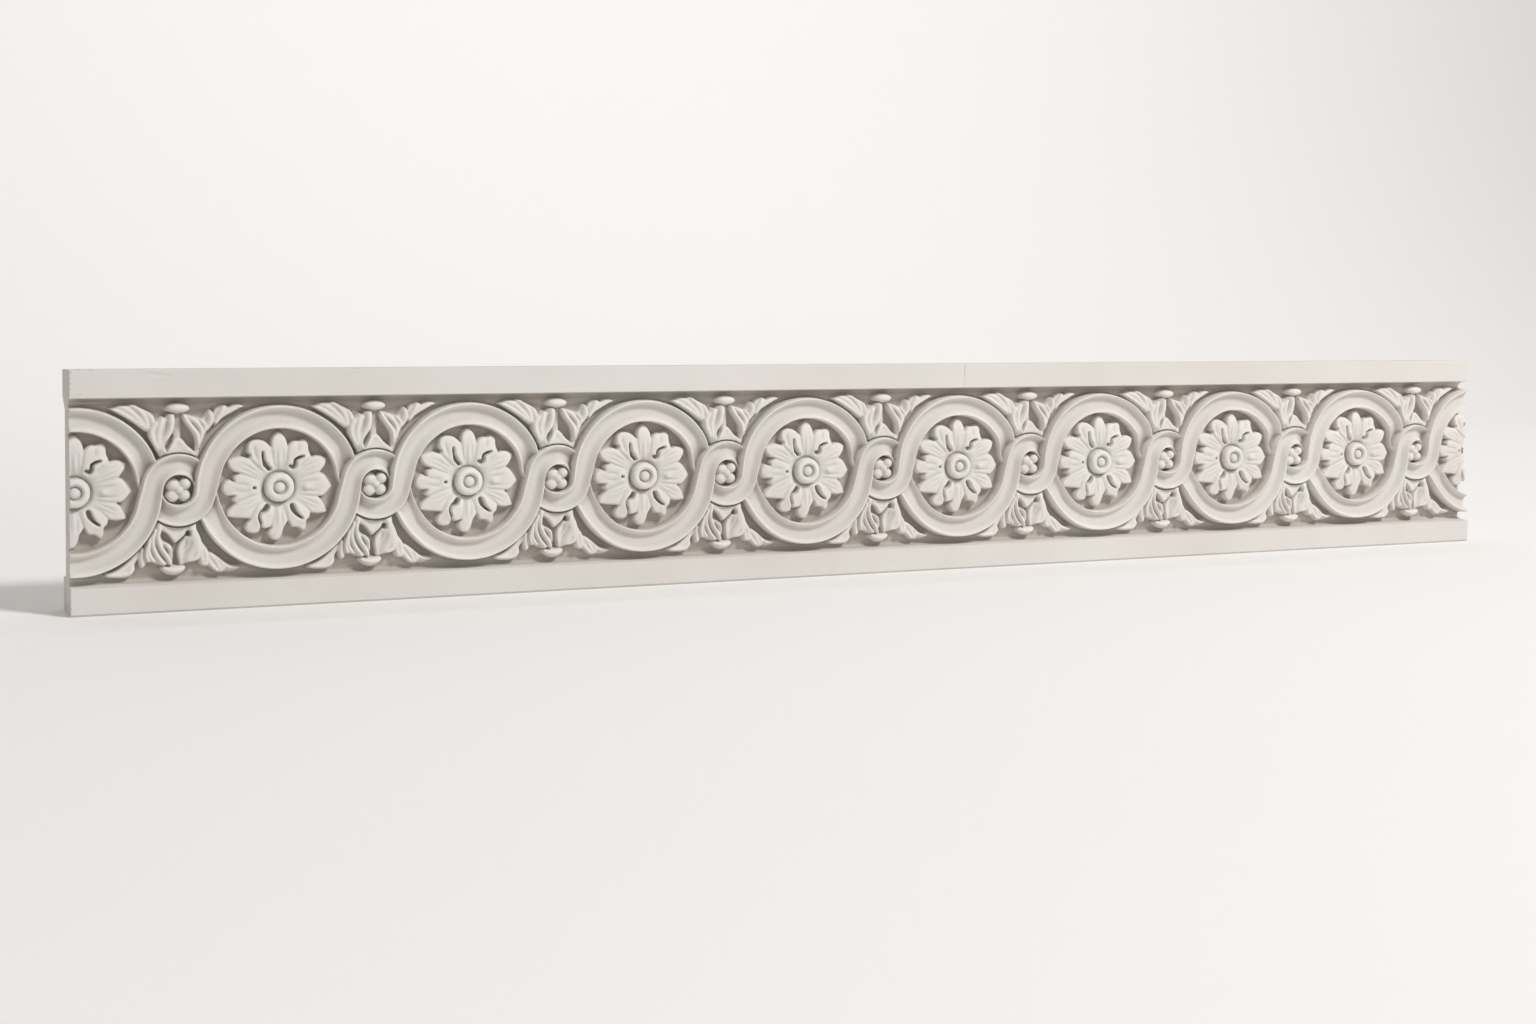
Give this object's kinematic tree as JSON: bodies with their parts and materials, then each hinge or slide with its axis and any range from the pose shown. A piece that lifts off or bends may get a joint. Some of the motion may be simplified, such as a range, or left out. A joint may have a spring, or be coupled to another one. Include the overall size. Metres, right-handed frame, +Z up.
{
  "type": "crown moulding",
  "caption": "Length of cast plaster frieze moulding with two interlaced bands, rosettes and husk leaves between plain fillets.",
  "frame": {"origin": "middle of the length and of the depth, on the underside", "axes": "+X along the length to the viewer's right, +Z up from the lower fillet to the upper one, the carved face towards -Y"},
  "size_m": [1.029, 0.04, 0.14],
  "materials": {
    "plaster": null
  },
  "bodies": {
    "root": {"guilloche_moulding": "plaster"}
  },
  "joints": []
}
